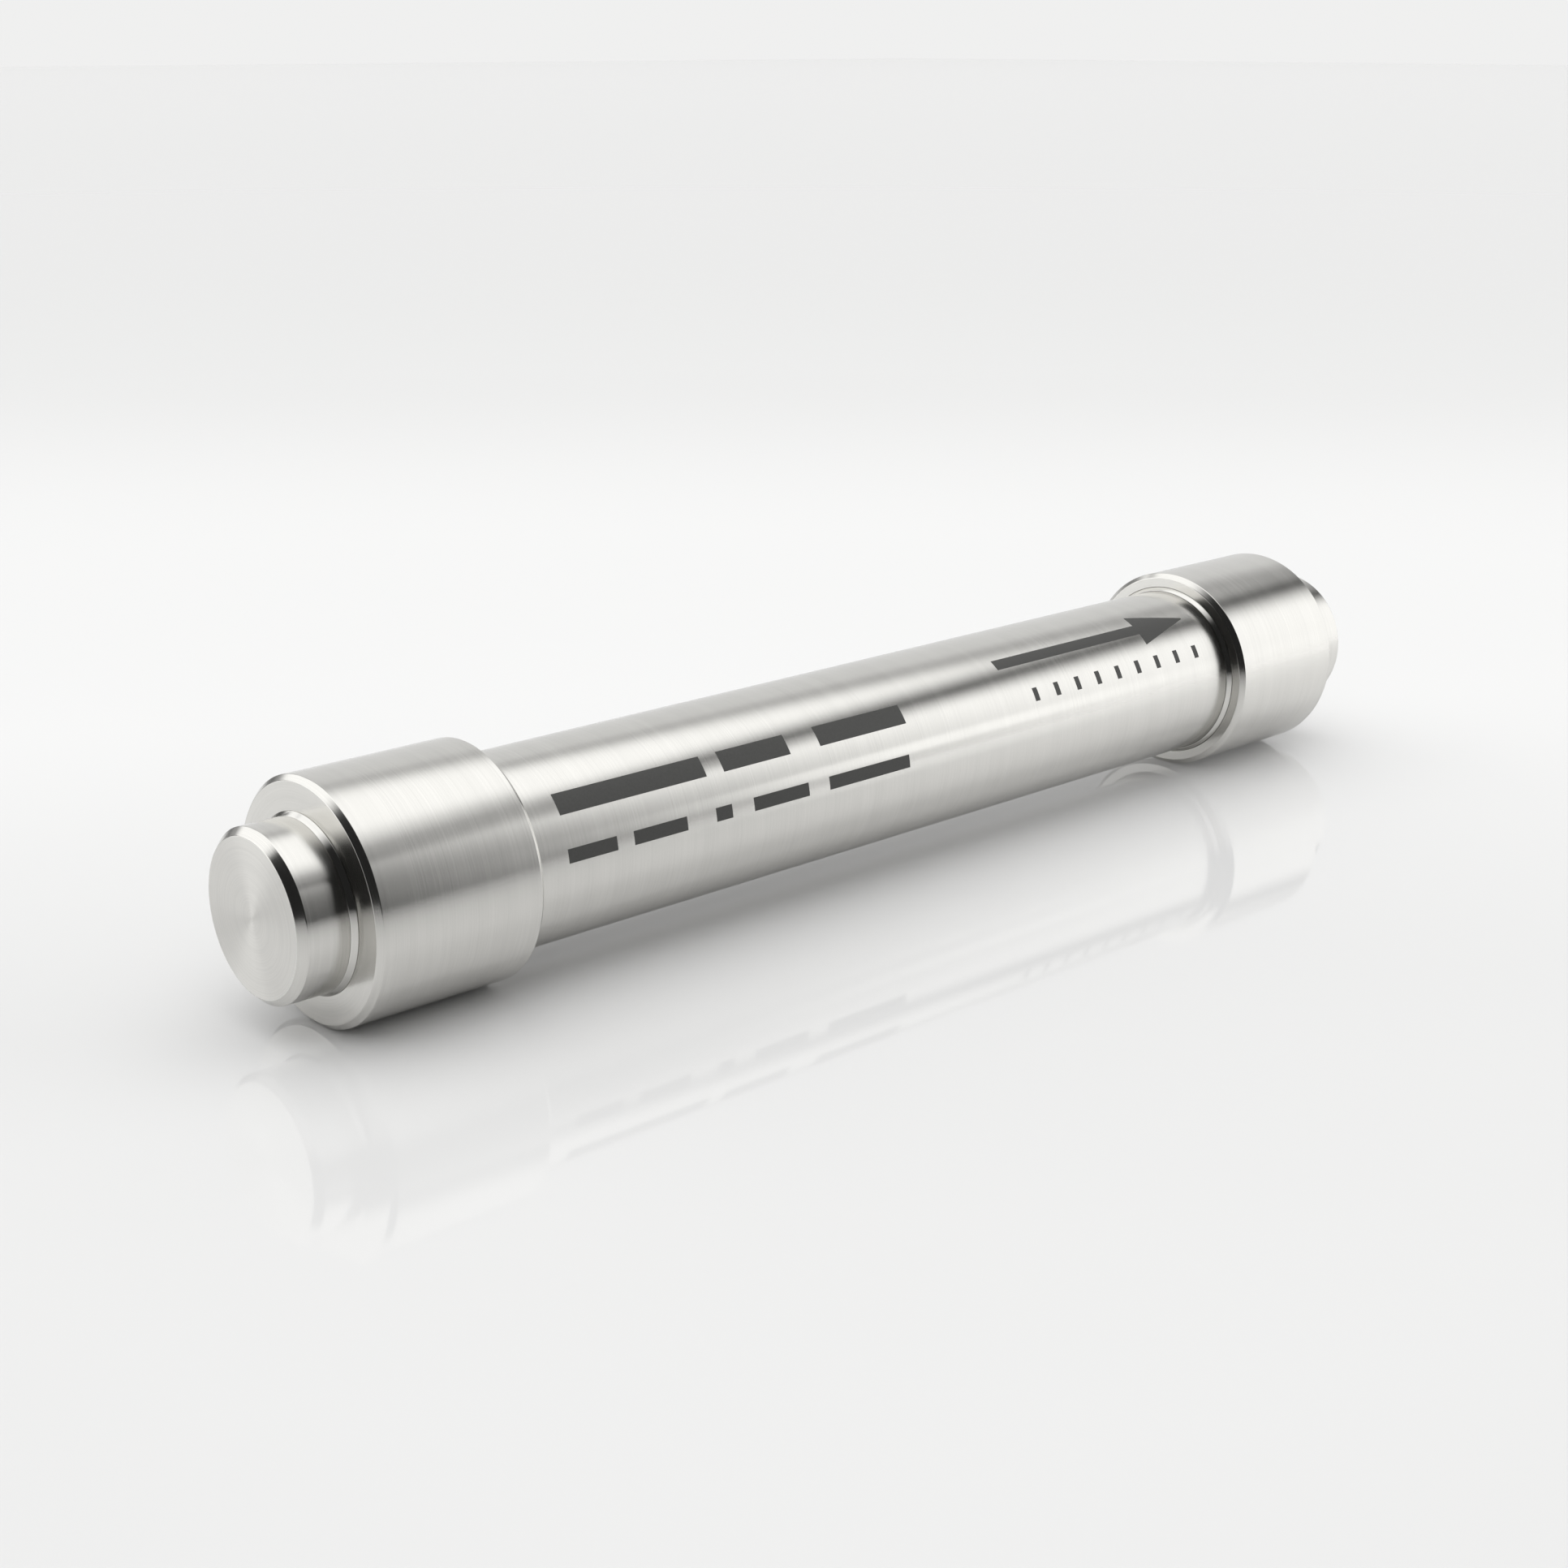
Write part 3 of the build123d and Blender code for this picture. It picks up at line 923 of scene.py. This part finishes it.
def glossy_table(scene, settings):
    """A table that is solid from above and clear from below, with a painted pool of light
    glowing on it under and behind the column.
    """
    half = settings.table_reach
    level = FITTING_R
    mesh = bpy.data.meshes.new("table")
    mesh.from_pydata([(-half, level, -half), (half, level, -half),
                      (half, level, half), (-half, level, half)], [], [(0, 1, 2, 3)])
    table = bpy.data.objects.new("table", mesh)
    scene.collection.objects.link(table)
    material, tree, shader = start_material("glossy white table")
    place = add_node(tree, "ShaderNodeTexCoord").outputs["Object"]
    cloud = noise(tree, place, TABLE_CLOUD, detail=2.0)
    colour = tuple(settings.table_colour)
    dark = tuple(channel * TABLE_SHADE for channel in colour)
    tree.links.new(shade_between(tree, cloud, dark, colour), shader.inputs["Base Color"])
    shader.inputs["Roughness"].default_value = TABLE_ROUGHNESS
    shader.inputs["IOR"].default_value = TABLE_IOR
    distance = add_node(tree, "ShaderNodeVectorMath", operation="DOT_PRODUCT")
    tree.links.new(place, distance.inputs[0])
    distance.inputs[1].default_value = AWAY
    distance = distance.outputs["Value"]
    # Painted pool of light: emission on the table near the column, fading along AWAY, which
    # lightens the column's shadow.
    painted_pool = calculate(tree, "MULTIPLY",
                     ramp_between(tree, distance, *PAINTED_POOL_NEAR, smooth=True),
                     ramp_between(tree, distance, *PAINTED_POOL_FAR, 1.0, 0.0, smooth=True))
    glow = ramp_between(tree, painted_pool, 0, 1, 0, settings.painted_pool_light)
    tree.links.new(glow, shader.inputs["Emission Strength"])
    shader.inputs["Emission Color"].default_value = PAINTED_POOL_TINT
    clear = add_node(tree, "ShaderNodeBsdfTransparent")
    either = add_node(tree, "ShaderNodeMixShader")
    side = add_node(tree, "ShaderNodeNewGeometry").outputs["Backfacing"]
    tree.links.new(side, either.inputs[0])
    tree.links.new(shader.outputs[0], either.inputs[1])
    tree.links.new(clear.outputs[0], either.inputs[2])
    output = next(node for node in tree.nodes if node.type == "OUTPUT_MATERIAL")
    tree.links.new(either.outputs[0], output.inputs["Surface"])
    mesh.materials.append(material)


def stage_camera(scene, settings):
    """A camera that looks along AWAY and down at the column."""
    data = bpy.data.cameras.new("camera")
    data.sensor_width = SENSOR_WIDTH
    data.lens = settings.lens
    data.clip_start = CLIP_NEAR
    data.clip_end = CLIP_FAR
    camera = bpy.data.objects.new("camera", data)
    scene.collection.objects.link(camera)
    forward = AWAY * math.cos(LOOK_DOWN) - UP * math.sin(LOOK_DOWN)
    above = RIGHT.cross(forward)
    turn = Matrix((RIGHT, above, -forward)).transposed().to_4x4()
    camera.matrix_world = Matrix.Translation(settings.camera_place) @ turn
    scene.camera = camera


class COLUMN_OT_stage(bpy.types.Operator):
    """Set up the glossy table, the light tent and the camera"""

    bl_idname = "column.stage"
    bl_label = "Stage"

    def execute(self, context):
        scene = context.scene
        settings = scene.column_stage
        light_tent(scene, settings.light_strength, settings.fill_strength)
        glossy_table(scene, settings)
        stage_camera(scene, settings)
        scene.view_settings.view_transform = "Standard"
        return {"FINISHED"}


# ---- Panel and registration ----

STEPS = ("tube", "end_fittings", "collars", "blanking_plugs", "inner_pieces", "marks", "stage")
GROUPS = {
    "column_turning": TurningSettings,
    "column_thread": ThreadSettings,
    "column_marks": MarkSettings,
    "column_stage": StageSettings,
}


class COLUMN_PT_panel(bpy.types.Panel):
    """Sizes and colours of the column, and the step that makes each piece"""

    bl_idname = "COLUMN_PT_panel"
    bl_label = "HPLC column"
    bl_space_type = "VIEW_3D"
    bl_region_type = "UI"
    bl_category = "Column"

    def draw(self, context):
        for name, group in GROUPS.items():
            box = self.layout.box()
            for key in group.__annotations__:
                box.prop(getattr(context.scene, name), key)
        for step in STEPS:
            self.layout.operator(f"column.{step}")


CLASSES = (
    TurningSettings,
    ThreadSettings,
    MarkSettings,
    StageSettings,
    COLUMN_OT_tube,
    COLUMN_OT_end_fittings,
    COLUMN_OT_collars,
    COLUMN_OT_blanking_plugs,
    COLUMN_OT_inner_pieces,
    COLUMN_OT_marks,
    COLUMN_OT_stage,
    COLUMN_PT_panel,
)


def register():
    for item in CLASSES:
        bpy.utils.register_class(item)
    for name, group in GROUPS.items():
        setattr(bpy.types.Scene, name, PointerProperty(type=group))


def unregister():
    for name in GROUPS:
        delattr(bpy.types.Scene, name)
    for item in reversed(CLASSES):
        bpy.utils.unregister_class(item)


def main():
    register()
    for step in STEPS:
        getattr(bpy.ops.column, step)()


if __name__ == "__main__":
    main()
